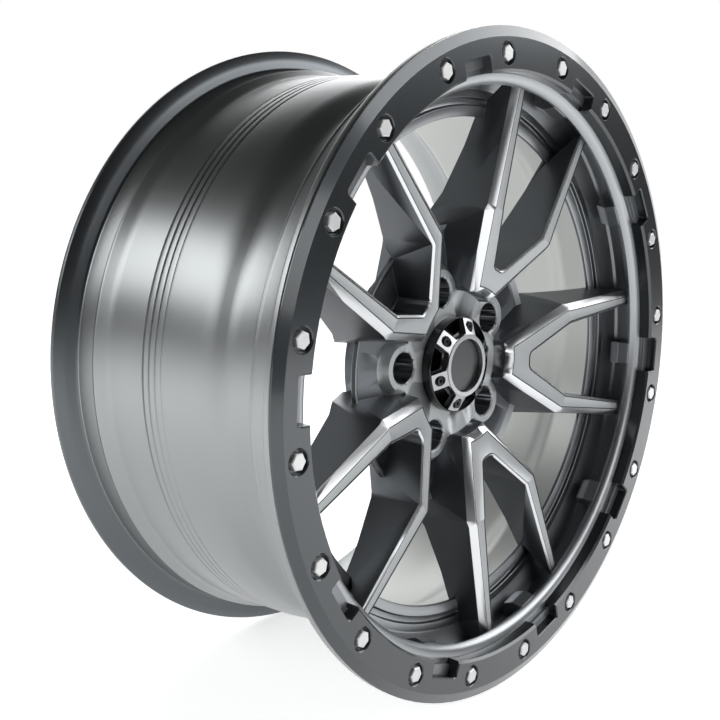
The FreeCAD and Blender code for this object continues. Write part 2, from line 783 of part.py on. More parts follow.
def make_bolts():
    """Model the hexagon bolts that hold the ring, all in one group."""
    body = new_body("ring_bolts")
    head_plan = face_sketch(body, "head_plan", "bolt_recess_d")
    add_outline(head_plan, hexagon(*bolt_place(), "bolt_head_af"))
    head = pad(body, "bolt_head", head_plan, "bolt_recess_d + bolt_proud", rearward=False)
    shank_plan = face_sketch(body, "shank_plan", "bolt_recess_d")
    add_circle(shank_plan, *bolt_place(), "bolt_shank_r")
    shank = pad(body, "bolt_shank", shank_plan, "bolt_end_d - bolt_recess_d")

    def is_top(edge):
        return abs(depth_of(edge.CenterOfMass) + value("bolt_proud")) < 0.01

    dress(body, "Chamfer", "bolt_edges", shank, is_top, "bolt_chamfer")
    return polar(body, "all_bolts", None, BOLT_COUNT, whole=True)


# The centre cap

def height(text):
    """Return the depth, as an expression, of a height in front of the hub's pad."""
    return f"pad_d - ({text})"


def make_cap_base():
    """Model the cap's black body: a cone with six pockets and a clip skirt behind it."""
    body = new_body("cap_base")
    turn(body, "cap_body", section(body, "cap_section", [
        ("0", height("cap_seat_h")),
        ("spider_in_r", height("cap_seat_h")),
        ("spider_in_r", height("spider_root_h - spider_plate")),
        (SPIDER_OUT, height("spider_root_h - spider_plate")),
        (CAP_IN, height("spider_tip_h - spider_plate")),
        (CAP_IN, height("cap_rim_h")),
        ("cap_r - cap_edge", height("cap_rim_h")),
        ("cap_r", height("cap_rim_h - cap_edge")),
        ("cap_r", "pad_d"),
        (SKIRT_R, "pad_d"),
        (SKIRT_R, SKIRT_D),
        (f"{SKIRT_R} - cap_skirt_wall", SKIRT_D),
        (f"{SKIRT_R} - cap_skirt_wall", "pad_d + cap_back"),
        ("0", "pad_d + cap_back"),
    ]))
    slot_plan = face_sketch(body, "slot_plan", SKIRT_D)
    add_outline(slot_plan, [
        (f"{SKIRT_R} - 2 * cap_skirt_wall", "-cap_slot_w / 2"),
        ("cap_bore_r + overrun", "-cap_slot_w / 2"),
        ("cap_bore_r + overrun", "cap_slot_w / 2"),
        (f"{SKIRT_R} - 2 * cap_skirt_wall", "cap_slot_w / 2"),
    ])
    slot = pocket(body, "clip_slot", slot_plan, "cap_slot_l", rearward=False)
    polar(body, "clip_slots", [slot], "cap_slot_count")

    pocket_plan = face_sketch(body, "cap_pocket_plan", height("spider_ring_h"))
    add_outline(pocket_plan, between_arms(
        f"{SPIDER_OUT} + cap_outline_w", f"{CAP_IN} - cap_outline_w", "spider_arm_w + 2 * cap_outline_w"))
    hollow = pocket(body, "cap_pocket", pocket_plan, "spider_ring_h - cap_pocket_h")
    hole_plan = face_sketch(body, "screw_hole_plan", height("spider_ring_h"))
    add_circle(hole_plan, *around("screw_circle_r", "spider_phase"), "screw_shank_r + screw_shank_fit")
    hole = pocket(body, "screw_hole", hole_plan, "spider_ring_h - screw_end_h + screw_shank_fit")
    return polar(body, "pockets_holes", [hollow, hole], "arm_count")


def arm_corners(inner, outer, width, angle):
    """Return the corners, as expressions, of a bar that points out from the axle."""
    (near_x, near_z), (far_x, far_z) = around(inner, angle), around(outer, angle)
    side_x, side_z = around(f"({width}) / 2", f"{angle} + 90")
    return [
        (f"{near_x} - {side_x}", f"{near_z} - {side_z}"),
        (f"{far_x} - {side_x}", f"{far_z} - {side_z}"),
        (f"{far_x} + {side_x}", f"{far_z} + {side_z}"),
        (f"{near_x} + {side_x}", f"{near_z} + {side_z}"),
    ]


def between_arms(inner, outer, width):
    """Return the corners, as expressions, of the gap between the first arm and the next."""
    first = arm_corners(inner, outer, width, "spider_phase")
    following = arm_corners(inner, outer, width, "spider_phase + 360 / arm_count")
    return [first[3], first[2], following[1], following[0]]


def make_cap_spider():
    """Model the silver plate with its raised ring and sloping arms."""
    body = new_body("cap_spider")
    turn(body, "spider_plate", section(body, "spider_section", [
        ("spider_in_r", height("spider_ring_h")),
        (SPIDER_OUT, height("spider_ring_h")),
        (SPIDER_OUT, height("spider_root_h")),
        (f"{CAP_IN} - spider_fit", height("spider_tip_h")),
        (f"{CAP_IN} - spider_fit", height("spider_tip_h - spider_plate + spider_fit")),
        (SPIDER_OUT, height("spider_root_h - spider_plate")),
        ("spider_in_r", height("spider_root_h - spider_plate")),
    ]))
    gap_plan = face_sketch(body, "gap_plan", height("spider_ring_h + overrun"))
    add_outline(gap_plan, between_arms(SPIDER_OUT, "cap_r + overrun", "spider_arm_w"))
    gap = pocket(body, "arm_gap", gap_plan, "spider_ring_h + 2 * overrun")
    place = around("screw_circle_r", "spider_phase")
    seat_plan = face_sketch(body, "seat_plan", height("spider_ring_h"))
    add_circle(seat_plan, *place, "screw_head_r + screw_head_fit")
    seat = pocket(body, "screw_seat", seat_plan, "spider_ring_h - screw_seat_h")
    hole_plan = face_sketch(body, "spider_hole_plan", height("spider_ring_h"))
    add_circle(hole_plan, *place, "screw_shank_r + screw_shank_fit")
    hole = pocket(body, "spider_hole", hole_plan, "spider_ring_h + overrun")
    return polar(body, "arms", [gap, seat, hole], "arm_count")


def make_cap_insert():
    """Model the plain disc inside the raised ring."""
    body = new_body("cap_insert")
    return turn(body, "disc", section(body, "disc_section", [
        ("0", height("insert_h")),
        ("spider_in_r - insert_fit - insert_edge", height("insert_h")),
        ("spider_in_r - insert_fit", height("insert_h - insert_edge")),
        ("spider_in_r - insert_fit", height("cap_seat_h")),
        ("0", height("cap_seat_h")),
    ]))


def make_cap_screws():
    """Model the small socket screws that hold the spider, all in one group."""
    body = new_body("cap_screws")
    place = around("screw_circle_r", "spider_phase")
    head_plan = face_sketch(body, "screw_head_plan", height("screw_head_h"))
    add_circle(head_plan, *place, "screw_head_r")
    pad(body, "screw_head", head_plan, "screw_head_h - screw_seat_h")
    shank_plan = face_sketch(body, "screw_shank_plan", height("screw_seat_h"))
    add_circle(shank_plan, *place, "screw_shank_r")
    pad(body, "screw_shank", shank_plan, "screw_seat_h - screw_end_h")
    socket_plan = face_sketch(body, "socket_plan", height("screw_head_h"))
    add_outline(socket_plan, hexagon(*place, "screw_socket_af"))
    pocket(body, "screw_socket", socket_plan, "screw_socket_h")
    return polar(body, "all_screws", None, "arm_count", whole=True)


def finish():
    """Check every object, then write each sub-part."""
    doc.recompute()
    for item in doc.Objects:
        if "Invalid" in item.State or "Error" in item.State:
            raise RuntimeError(f"{item.Name} failed: {item.State} {item.getStatusString()}")
    os.makedirs("parts", exist_ok=True)
    for body in doc.findObjects("PartDesign::Body"):
        shape = body.Shape
        if shape.isNull() or not shape.isValid():
            raise RuntimeError(f"{body.Label} has no valid shape")
        shape.exportStep(f"parts/{body.Label}.step")
        print(body.Label, len(shape.Solids), round(shape.Volume), shape.BoundBox)


fill_sheet()
make_casting()
make_ring()
make_bolts()
make_cap_base()
make_cap_spider()
make_cap_insert()
make_cap_screws()
finish()
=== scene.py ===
"""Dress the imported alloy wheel: finishes, fine trim, studio and camera.

The frame is in metres. The axle runs along Y, the styled face looks along -Y and one V spoke
points along +X.
"""
from __future__ import annotations

import logging
import math
from dataclasses import dataclass, field
from enum import Enum
from typing import Callable

import bpy
from mathutils import Matrix, Vector

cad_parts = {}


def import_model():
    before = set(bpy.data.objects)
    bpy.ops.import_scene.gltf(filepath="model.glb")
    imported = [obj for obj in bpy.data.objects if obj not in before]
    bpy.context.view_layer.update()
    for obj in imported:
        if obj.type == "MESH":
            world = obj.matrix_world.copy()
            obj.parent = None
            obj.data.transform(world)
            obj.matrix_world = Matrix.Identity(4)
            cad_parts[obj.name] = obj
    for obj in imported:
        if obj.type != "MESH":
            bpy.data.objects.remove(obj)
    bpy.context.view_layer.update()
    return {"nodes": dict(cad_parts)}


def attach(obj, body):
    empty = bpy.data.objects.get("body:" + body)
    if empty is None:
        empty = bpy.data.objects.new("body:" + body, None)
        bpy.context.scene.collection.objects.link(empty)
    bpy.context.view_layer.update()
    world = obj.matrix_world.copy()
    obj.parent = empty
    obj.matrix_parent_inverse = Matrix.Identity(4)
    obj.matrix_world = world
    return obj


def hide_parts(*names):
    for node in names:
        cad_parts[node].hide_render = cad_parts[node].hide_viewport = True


LOG = logging.getLogger("alloy_wheel")
MM = 0.001
BODY = "root"
FRONT_Y = -0.127
# Points nearer than this are one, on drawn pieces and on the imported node
DRAWN_WELD = 0.001 * MM
PACKED_WELD = 0.01 * MM
# Height that a bump of strength 1 stands for
BUMP_HEIGHT = 0.1 * MM
ABOUT_AXLE = {"center": (0.0, 0.0, 0.0), "axis": (0.0, 1.0, 0.0)}
WHITE = (1.0, 1.0, 1.0, 1.0)


class Slot(Enum):
    """Material slots of the record."""

    CASTING = "casting"
    RING = "ring"
    BOLTS = "bolts"
    CAP_BLACK = "cap_black"
    CAP_SILVER = "cap_silver"
    CAP_DISC = "cap_disc"
    SCREWS = "screws"


def linear(code: str) -> tuple[float, float, float, float]:
    """Turn an sRGB hex colour into linear values.

    Args:
        code: Six hex digits, red first.

    Returns:
        Red, green, blue and an alpha of one.
    """
    parts = [int(code[i:i + 2], 16) / 255 for i in (0, 2, 4)]
    red, green, blue = [c / 12.92 if c <= 0.04045 else ((c + 0.055) / 1.055) ** 2.4 for c in parts]
    return red, green, blue, 1.0


def depth_y(depth_mm: float) -> float:
    """Return the Y coordinate of a depth, in millimetres, behind the bead ring's face."""
    return FRONT_Y + depth_mm * MM


def radius_depth(place: Vector) -> tuple[float, float]:
    """Return a place's distance from the axle and depth behind the ring's face, in millimetres."""
    return math.hypot(place.x, place.z) / MM, (place.y - FRONT_Y) / MM


def add_node(tree: bpy.types.NodeTree, kind: str, values: dict | None = None, **settings) -> bpy.types.Node:
    """Add a shader node with its settings, socket values and links.

    Args:
        tree: Node tree that gets the node.
        kind: Blender's name of the node type.
        values: Socket name or index to a value, or to an output socket to link from.
        **settings: Attributes of the node itself.

    Returns:
        The new node.
    """
    node = tree.nodes.new(kind)
    for name, setting in settings.items():
        setattr(node, name, setting)
    for key, value in (values or {}).items():
        if isinstance(value, bpy.types.NodeSocket):
            tree.links.new(value, node.inputs[key])
        else:
            node.inputs[key].default_value = value
    return node


def soft_edge(tree: bpy.types.NodeTree, radius_mm: float) -> bpy.types.NodeSocket:
    """Return a normal that rounds sharp edges, so that they catch a thin line of light.

    Args:
        tree: Node tree that gets the node.
        radius_mm: Radius of the rounding.

    Returns:
        The rounded normal.
    """
    return add_node(tree, "ShaderNodeBevel", {"Radius": radius_mm * MM}, samples=6).outputs["Normal"]


def new_material(name: str) -> tuple[bpy.types.Material, bpy.types.Node, bpy.types.NodeSocket]:
    """Make a material with an empty shader.

    Args:
        name: Name of the material.

    Returns:
        The material, its shader node and the Object coordinates.
    """
    material = bpy.data.materials.new(name)
    material.use_nodes = True
    shader = material.node_tree.nodes["Principled BSDF"]
    place = add_node(material.node_tree, "ShaderNodeTexCoord").outputs["Object"]
    return material, shader, place


@dataclass(frozen=True)
class SprayedMetal:
    """Metallic paint over cast aluminium: fine flake, a little orange peel, satin clear coat.

    Attributes:
        name: Name of the material.
        colour: Mean colour as sRGB hex.
        flake: Colour of the lighter flakes as sRGB hex.
        flake_mm: Size of the drawn flakes.
        cloud_mm: Size of the patches in which the roughness varies.
        metallic: Share of metal in the paint.
        roughness: Mean roughness.
        spread: How far the roughness varies.
        peel_mm: Width of one orange-peel bump.
        peel: Strength of the bumps.
        edge_mm: Radius that the paint rounds sharp edges to.
        coat: Weight of the clear coat.
        coat_roughness: Roughness of the clear coat.
    """

    name: str
    colour: str
    flake: str
    metallic: float = 0.85
    roughness: float = 0.36
    spread: float = 0.05
    peel_mm: float = 2.5
    peel: float = 0.03
    edge_mm: float = 0.5
    coat: float = 0.0
    flake_mm: float = 0.8
    cloud_mm: float = 40.0
    coat_roughness: float = 0.12

    def build(self) -> bpy.types.Material:
        """Return the finished material."""
        material, shader, place = new_material(self.name)
        tree = material.node_tree
        # Real flake is far finer than a pixel, so it is drawn coarser to show at all.
        flakes = add_node(tree, "ShaderNodeTexNoise", {
            "Vector": place,
            "Scale": 1 / (self.flake_mm * MM),
            "Detail": 2.0,
        })
        colour = add_node(tree, "ShaderNodeMix", {"Factor": flakes.outputs["Fac"]}, data_type="RGBA")
        colour.inputs["A"].default_value = linear(self.colour)
        colour.inputs["B"].default_value = linear(self.flake)
        tree.links.new(colour.outputs["Result"], shader.inputs["Base Color"])
        cloud = add_node(tree, "ShaderNodeTexNoise", {
            "Vector": place,
            "Scale": 1 / (self.cloud_mm * MM),
            "Detail": 3.0,
        })
        rough = add_node(tree, "ShaderNodeMapRange", {
            "Value": cloud.outputs["Fac"],
            "To Min": self.roughness - self.spread,
            "To Max": self.roughness + self.spread,
        })
        tree.links.new(rough.outputs["Result"], shader.inputs["Roughness"])
        peel = add_node(tree, "ShaderNodeTexNoise", {"Vector": place, "Scale": 1 / (self.peel_mm * MM)})
        bump = add_node(tree, "ShaderNodeBump", {
            "Height": peel.outputs["Fac"],
            "Strength": self.peel,
            "Distance": BUMP_HEIGHT,
            "Normal": soft_edge(tree, self.edge_mm),
        })
        tree.links.new(bump.outputs["Normal"], shader.inputs["Normal"])
        shader.inputs["Metallic"].default_value = self.metallic
        shader.inputs["Coat Weight"].default_value = self.coat
        shader.inputs["Coat Roughness"].default_value = self.coat_roughness
        return material


@dataclass(frozen=True)
class TurnedMetal:
    """Metal turned on a lathe: fine rings round the axle that stretch each highlight.

    Attributes:
        name: Name of the material.
        colour: Mean colour as sRGB hex.
        metallic: Share of metal.
        roughness: Mean roughness.
        spread: How far the roughness varies.
        ring_mm: Spacing of the tool marks.
        depth: Strength of the tool marks.
        edge_mm: Radius that sharp edges are broken to.
    """

    name: str
    colour: str
    metallic: float = 0.95
    roughness: float = 0.3
    spread: float = 0.05
    ring_mm: float = 1.6
    depth: float = 0.05
    edge_mm: float = 0.4

    def build(self) -> bpy.types.Material:
        """Return the finished material."""
        material, shader, place = new_material(self.name)
        tree = material.node_tree
        # Real tool marks lie about 0.2 mm apart; they are drawn wider here so that they show.
        along = add_node(tree, "ShaderNodeMapping", {"Vector": place, "Scale": (0.0, 1.0, 0.0)})
        marks = add_node(tree, "ShaderNodeTexNoise", {
            "Vector": along.outputs["Vector"],
            "Scale": 1 / (self.ring_mm * MM),
            "Detail": 4.0,
        })
        bump = add_node(tree, "ShaderNodeBump", {
            "Height": marks.outputs["Fac"],
            "Strength": self.depth,
            "Distance": BUMP_HEIGHT,
            "Normal": soft_edge(tree, self.edge_mm),
        })
        tree.links.new(bump.outputs["Normal"], shader.inputs["Normal"])
        rough = add_node(tree, "ShaderNodeMapRange", {
            "Value": marks.outputs["Fac"],
            "To Min": self.roughness - self.spread,
            "To Max": self.roughness + self.spread,
        })
        tree.links.new(rough.outputs["Result"], shader.inputs["Roughness"])
        shader.inputs["Base Color"].default_value = linear(self.colour)
        shader.inputs["Metallic"].default_value = self.metallic
        return material


# Paint on the walls of the spokes and round the hub: dark, it makes the lit faces stand out
GUNMETAL = SprayedMetal("gunmetal_paint", "64676b", "6f7276", roughness=0.32)
# Faces of the spokes and the hub that look to the front, painted a lighter silver than the walls as painted
# light, with a broad soft sheen
FACE_PAINTED_LIGHT = SprayedMetal("face_silver_painted_light", "aaaeb0", "b4b8ba", metallic=0.6, roughness=0.45)
# Silver painted darker in the pocket of the rim, as painted shade in the recess: it sets off the bright bead
RIM_POCKET_SHADE = SprayedMetal("rim_pocket_painted_shade", "808386", "8b8e91", metallic=0.7, roughness=0.32)
# Bevel beside each face, painted near-white as a painted highlight: the brightest line on the spokes
BEVEL_PAINTED_HIGHLIGHT = SprayedMetal("bevel_painted_highlight", "dcdee0", "e4e6e8", metallic=1.0, roughness=0.3, peel=0.005)
# Line scribed beside the bevel: a thin dark line
DARK_LINE = SprayedMetal("dark_scribed_line", "232426", "2a2b2d", metallic=0.3, roughness=0.5)
# Rounded bead inside the ring: a bright turned band; the same colour is painted light on an edge, the block
# slopes and a step
BEAD_AND_PAINTED_LIGHT = TurnedMetal("bead_metal_and_painted_light", "a0a3a6", roughness=0.33)
# Turned barrel: satin with fine rings round it, so that it mirrors the room in soft bands
SATIN_BARREL = TurnedMetal("satin_barrel", "9a9d9e", roughness=0.33, depth=0.02)
# Rear flange: the same turned metal painted darker, as painted shade, so that it frames the barrel
DARK_FLANGE = TurnedMetal("dark_rear_flange", "686c6f", roughness=0.33, depth=0.02)
# Inside of the barrel: plainer and duller
BARREL_INSIDE = TurnedMetal("barrel_inside", "c6c8c6", metallic=0.6, roughness=0.45)
# Ring: black with a metallic depth under a clear coat, dark until a light stands in it
RING_BLACK = SprayedMetal(
    "ring_black_coat", "3e4245", "44484b", metallic=0.8, roughness=0.29, spread=0.01, peel=0.002, coat=0.8)
# Heads of the ring bolts: steel, with their glint painted in as a near-white, mostly non-metal colour; white
# points on the dark ring
BOLT_STEEL_GLINT = TurnedMetal("bolt_steel_painted_glint", "fafbfb", metallic=0.25, roughness=0.3)
# Body of the cap: gloss black, it shows only as sharp highlights
CAP_BLACK = SprayedMetal("cap_black_plastic", "08090a", "0c0d0e", metallic=0.0, roughness=0.16)
# Plate of the cap: silver arms that stand out from the black body
CAP_SILVER = SprayedMetal("cap_silver_paint", "a2a4a6", "acaeb0", metallic=0.9, roughness=0.26)
# Disc of the cap: dark grey with a soft gleam
CAP_DISC = SprayedMetal("cap_disc_plastic", "4a4b4c", "535455", metallic=0.6, roughness=0.3)
# Screws of the cap: dull dark dots in the silver arms
SCREW_BLACK = SprayedMetal("screw_black_oxide", "141516", "1a1b1c", metallic=0.5, roughness=0.3)


@dataclass(frozen=True)
class Spot:
    """Where a face of the casting lies and which way it looks.

    Attributes:
        radius: Distance from the axle in millimetres.
        depth: Depth behind the ring's face in millimetres.
        front: How far the face looks to the front, from -1 to 1.
        outward: How far it looks away from the axle, from -1 to 1.
    """

    radius: float
    depth: float
    front: float
    outward: float


@dataclass(frozen=True)
class Zone:
    """A part of the casting with a finish of its own.

    Attributes:
        finish: The finish.
        holds: Tells whether a face lies in the zone.
    """

    finish: SprayedMetal | TurnedMetal
    holds: Callable[[Spot], bool]


def on_spokes(spot: Spot) -> bool:
    """Tell whether a face lies at the front of the spokes, between hub and rim."""
    return 60 < spot.radius < 231 and 20 < spot.depth < (54 if spot.radius < 126 else 32)


def on_block_ramp(spot: Spot) -> bool:
    """Tell whether a face lies on the slope at the back of a rim block."""
    inside = 224 < spot.radius < 236 and 29 < spot.depth < 40
    return inside and spot.front < -0.2 and spot.outward < -0.5


# The first zone that holds a face gives its finish. Radii and depths are in millimetres.
# Faces that look straight to the front get the lighter face colour, as painted light
FACE_ZONE = Zone(FACE_PAINTED_LIGHT, lambda s: on_spokes(s) and s.front > 0.88)
CASTING_ZONES = (
    FACE_ZONE,
    Zone(BEAD_AND_PAINTED_LIGHT, lambda s: 226 < s.radius < 236 and s.depth < 18.2),
    # painted highlight on the thin edge behind the bead
    Zone(BEAD_AND_PAINTED_LIGHT, lambda s: 228.8 < s.radius < 231.5 and 21.6 < s.depth < 23.4),
    # bevels beside the faces are painted near-white, as a painted highlight
    Zone(BEVEL_PAINTED_HIGHLIGHT, lambda s: on_spokes(s) and s.radius < 226 and 0.45 < s.front <= 0.88),
    # front faces of the hub get the same painted light
    Zone(FACE_PAINTED_LIGHT, lambda s: s.radius < 120 and s.depth < 73 and s.front > 0.5),
    # painted light on the slope behind each block
    Zone(BEAD_AND_PAINTED_LIGHT, on_block_ramp),
    # painted light on the step that looks to the front
    Zone(BEAD_AND_PAINTED_LIGHT, lambda s: 203 < s.radius < 228 and 47 < s.depth < 52 and s.front > 0.6),
    # rear flange painted darker, as painted shade
    Zone(DARK_FLANGE, lambda s: s.radius > 254 and s.depth > 238),
    Zone(SATIN_BARREL, lambda s: s.radius > 224 and s.outward > 0.2),
    Zone(SATIN_BARREL, lambda s: s.radius > 224 and s.depth > 212),
    Zone(BARREL_INSIDE, lambda s: s.radius > 200 and s.depth > 53),
    # the rest of the rim is painted darker, as painted shade in the pocket
    Zone(RIM_POCKET_SHADE, lambda s: s.radius > 222),
    Zone(GUNMETAL, lambda s: True),
)


@dataclass(frozen=True)
class Corner:
    """A corner of the rim's section.

    Attributes:
        radius: Distance from the axle in millimetres.
        depth: Depth behind the ring's face in millimetres.
        round: Length of each side that the rounding takes, in millimetres.
    """

    radius: float
    depth: float
    round: float = 0.3


# Half widths of a groove at its mouth and floor, its floor's radius and its rounding, in millimetres
GROOVE_MOUTH = 1.2
GROOVE_BASE = 0.6
GROOVE_FLOOR_R = 242.6
GROOVE_ROUND = 0.2


def groove_corners(depth: float, crest: float) -> tuple[Corner, ...]:
    """Return the corners of one fine groove in the barrel, from the rear to the front.

    Args:
        depth: Depth of the groove's middle behind the ring's face in millimetres.
        crest: Radius of the barrel there in millimetres.

    Returns:
        Four corners.
    """
    return (
        Corner(crest, depth + GROOVE_MOUTH, GROOVE_ROUND),
        Corner(GROOVE_FLOOR_R, depth + GROOVE_BASE, GROOVE_ROUND),
        Corner(GROOVE_FLOOR_R, depth - GROOVE_BASE, GROOVE_ROUND),
        Corner(crest, depth - GROOVE_MOUTH, GROOVE_ROUND),
    )


def trace(name: str, points: list[Vector]) -> bpy.types.Object:
    """Draw a line through points and stay in edit mode.

    Args:
        name: Name of the piece.
        points: Places in metres; the first comes again at the end where the line closes.

    Returns:
        The piece, with its line selected.
    """
    bpy.ops.object.select_all(action="DESELECT")
    bpy.ops.mesh.primitive_plane_add(size=MM)
    piece = bpy.context.object
    piece.name = name
    bpy.ops.object.mode_set(mode="EDIT")
    bpy.ops.mesh.merge(type="CENTER")
    bpy.ops.transform.translate(value=points[0])
    for start, end in zip(points, points[1:]):
        bpy.ops.mesh.extrude_region_move(TRANSFORM_OT_translate={"value": end - start})
    bpy.ops.mesh.select_all(action="SELECT")
    bpy.ops.mesh.remove_doubles(threshold=DRAWN_WELD)
    return piece


def turn_round(steps: int) -> None:
    """Turn what is selected in edit mode right round the axle and go back to object mode.

    Args:
        steps: Steps of one turn.
    """
    bpy.ops.mesh.spin(steps=steps, angle=math.tau, **ABOUT_AXLE)
    bpy.ops.mesh.select_all(action="SELECT")
    bpy.ops.mesh.remove_doubles(threshold=DRAWN_WELD)
    bpy.ops.mesh.normals_make_consistent(inside=False)
    bpy.ops.object.mode_set(mode="OBJECT")


def off_line(place: Vector, start: Vector, end: Vector) -> float:
    """Return the shortest distance from a place to a straight line between two points."""
    side = end - start
    share = min(max((place - start).dot(side) / side.length_squared, 0.0), 1.0)
    return (start + side * share - place).length


# The rim's section, once round: front rabbet, inside to the rear flange, outside back to the front
RIM_SECTION = (
    Corner(258.3, 8.6),
    Corner(239.8, 8.6),
    Corner(239.8, 11.6),
    Corner(235.2, 11.6),
    Corner(230.0, 13.4, 4.0),
    Corner(226.5, 18.0, 1.6),
    Corner(229.5, 22.3, 0.5),
    Corner(242.0, 27.0, 3.0),
    Corner(242.0, 41.0, 5.0),
    Corner(226.0, 48.0, 0.8),
    Corner(219.3, 48.0, 0.6),
    Corner(218.4, 51.4, 0.6),
    Corner(213.7, 51.4, 0.6),
    Corner(212.8, 48.0, 0.6),
    Corner(204.5, 49.6, 0.9),
    Corner(204.5, 52.6, 1.2),
    Corner(220.5, 58.0, 5.0),
    Corner(220.5, 89.0, 6.0),
    Corner(230.6, 106.0, 8.0),
    Corner(236.2, 147.0, 8.0),
    Corner(239.0, 210.0, 4.0),
    Corner(246.65, 221.0, 4.0),
    Corner(247.5, 239.5, 3.0),
    Corner(249.5, 254.6, 1.0),
    Corner(263.4, 254.6, 2.0),
    Corner(271.1, 252.3, 2.0),
    Corner(271.1, 247.6, 1.0),
    Corner(263.4, 243.6, 2.0),
    Corner(255.15, 241.0, 0.8),
    Corner(253.65, 239.5, 0.8),
    Corner(251.75, 222.5, 0.6),
    Corner(252.55, 221.0, 0.6),
    Corner(251.75, 219.5, 0.6),
    Corner(246.0, 210.0, 4.0),
    *groove_corners(169.0, 244.2),
    *groove_corners(162.0, 243.9),
    *groove_corners(155.0, 243.6),
    *groove_corners(148.0, 243.2),
    Corner(237.6, 106.0, 8.0),
    Corner(227.5, 89.0, 6.0),
    Corner(227.5, 58.0, 6.0),
    Corner(251.75, 41.6, 1.0),
    Corner(252.55, 40.1, 0.6),
    Corner(251.75, 38.6, 0.6),
    Corner(253.65, 16.6, 0.8),
    Corner(255.15, 15.1, 0.8),
    Corner(266.0, 12.6, 1.2),
    Corner(269.0, 10.2, 1.0),
    Corner(269.0, 5.8),
    Corner(268.4, 5.2),
    Corner(258.3, 5.2),
)


@dataclass
class Rim:
    """Rim and barrel, turned from their section in fine steps.

    Attributes:
        steps: Steps of one turn.
        arc_points: Points on each rounded corner.
        round_share: Largest share of a side that one rounding takes.
        valve_radius_mm: Radius of the valve hole.
        valve_at: Radius and depth of the valve hole's middle in millimetres.
        valve_tilt_deg: Lean of the valve hole to the axle.
        valve_reach_mm: Length of the cut.
        valve_sides: Sides of the cut.
    """

    steps: int = 192
    arc_points: int = 4
    round_share: float = 0.45
    valve_radius_mm: float = 5.65
    valve_at: tuple[float, float] = (224.0, 48.0)
    valve_tilt_deg: float = 34.0
    valve_reach_mm: float = 40.0
    valve_sides: int = 48

    def outline(self) -> list[Vector]:
        """Return the rounded section as points of the XY plane in metres."""
        places = [Vector((corner.radius * MM, depth_y(corner.depth), 0.0)) for corner in RIM_SECTION]
        points = []
        for index, corner in enumerate(RIM_SECTION):
            here = places[index]
            ends = []
            for other in (places[index - 1], places[(index + 1) % len(places)]):
                side = other - here
                ends.append(here + side.normalized() * min(corner.round * MM, side.length * self.round_share))
            for step in range(self.arc_points):
                share = step / (self.arc_points - 1)
                first = ends[0].lerp(here, share)
                second = here.lerp(ends[1], share)
                points.append(first.lerp(second, share))
        return points

    def gap(self, radius: float, depth: float) -> float:
        """Return how far a place lies from the sharp section, in millimetres.

        Args:
            radius: Distance from the axle in millimetres.
            depth: Depth behind the ring's face in millimetres.

        Returns:
            The shortest distance.
        """
        ends = [Vector((corner.radius, corner.depth)) for corner in RIM_SECTION]
        place = Vector((radius, depth))
        return min(off_line(place, ends[index - 1], ends[index]) for index in range(len(ends)))

    def build(self) -> bpy.types.Object:
        """Turn the section round the axle and bore the valve hole.

        Returns:
            The rim.
        """
        points = self.outline()
        rim = trace("rim_turned", points + points[:1])
        turn_round(self.steps)
        self.bore_valve(rim)
        return rim

    def bore_valve(self, rim: bpy.types.Object) -> None:
        """Bore the slanting valve hole on the -X side.

        Args:
            rim: The turned rim.
        """
        radius, depth = self.valve_at
        tilt = math.radians(self.valve_tilt_deg)
        bpy.ops.mesh.primitive_cylinder_add(
            vertices=self.valve_sides, radius=self.valve_radius_mm * MM, depth=self.valve_reach_mm * MM,
            location=(-radius * MM, depth_y(depth), 0.0), rotation=(math.pi / 2, 0.0, tilt))
        cutter = bpy.context.object
        cut = rim.modifiers.new("valve_hole", "BOOLEAN")
        cut.operation = "DIFFERENCE"
        cut.object = cutter
        bpy.context.view_layer.objects.active = rim
        bpy.ops.object.modifier_apply(modifier=cut.name)
        bpy.data.objects.remove(cutter)


@dataclass
class RimBlocks:
    """The blocks in the pocket behind the bead, one behind each notch of the ring.

    Attributes:
        count: Blocks round the rim.
        width_mm: Width along the rim.
        edge_mm: Rounding of the edges.
        edge_steps: Steps of that rounding.
        section: Radius and depth of the section's corners in millimetres.
        coarse: Radius and depth, from and to, in which the coarse blocks lie, in millimetres.
        slack_mm: How far a coarse block may reach past the width.
    """

    count: int = 10
    width_mm: float = 21.0
    edge_mm: float = 0.8
    edge_steps: int = 2
    section: tuple[tuple[float, float], ...] = (
        (243.5, 21.0), (226.4, 18.2), (224.6, 28.5), (228.6, 38.5), (243.5, 41.5))
    coarse: tuple[tuple[float, float], tuple[float, float]] = ((231.0, 30.0), (248.0, 48.0))
    slack_mm: float = 0.5

    def build(self) -> bpy.types.Object:
        """Make one block and repeat it round the axle.

        Returns:
            All the blocks as one piece.
        """
        side = -self.width_mm / 2 * MM
        points = [Vector((radius * MM, depth_y(depth), side)) for radius, depth in self.section]
        blocks = trace("rim_blocks", points + points[:1])
        bpy.ops.mesh.edge_face_add()
        bpy.ops.mesh.extrude_region_move(TRANSFORM_OT_translate={"value": (0.0, 0.0, self.width_mm * MM)})
        bpy.ops.mesh.select_all(action="SELECT")
        bpy.ops.mesh.normals_make_consistent(inside=False)
        bpy.ops.mesh.bevel(offset=self.edge_mm * MM, segments=self.edge_steps, affect="EDGES")
        bpy.ops.mesh.select_all(action="SELECT")
        turn = math.tau * (self.count - 1) / self.count
        bpy.ops.mesh.spin(steps=self.count - 1, dupli=True, angle=turn, **ABOUT_AXLE)
        bpy.ops.object.mode_set(mode="OBJECT")
        return blocks

    def covers(self, center: Vector) -> bool:
        """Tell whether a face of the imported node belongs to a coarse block.

        Args:
            center: Middle of the face in metres.

        Returns:
            True on a coarse block.
        """
        (low_radius, low_depth), (high_radius, high_depth) = self.coarse
        radius, depth = radius_depth(center)
        step = math.tau / self.count
        angle = (math.atan2(center.z, center.x) + step / 2) % step - step / 2
        inside = low_radius < radius < high_radius and low_depth < depth < high_depth
        return inside and abs(angle) * radius < self.width_mm / 2 + self.slack_mm


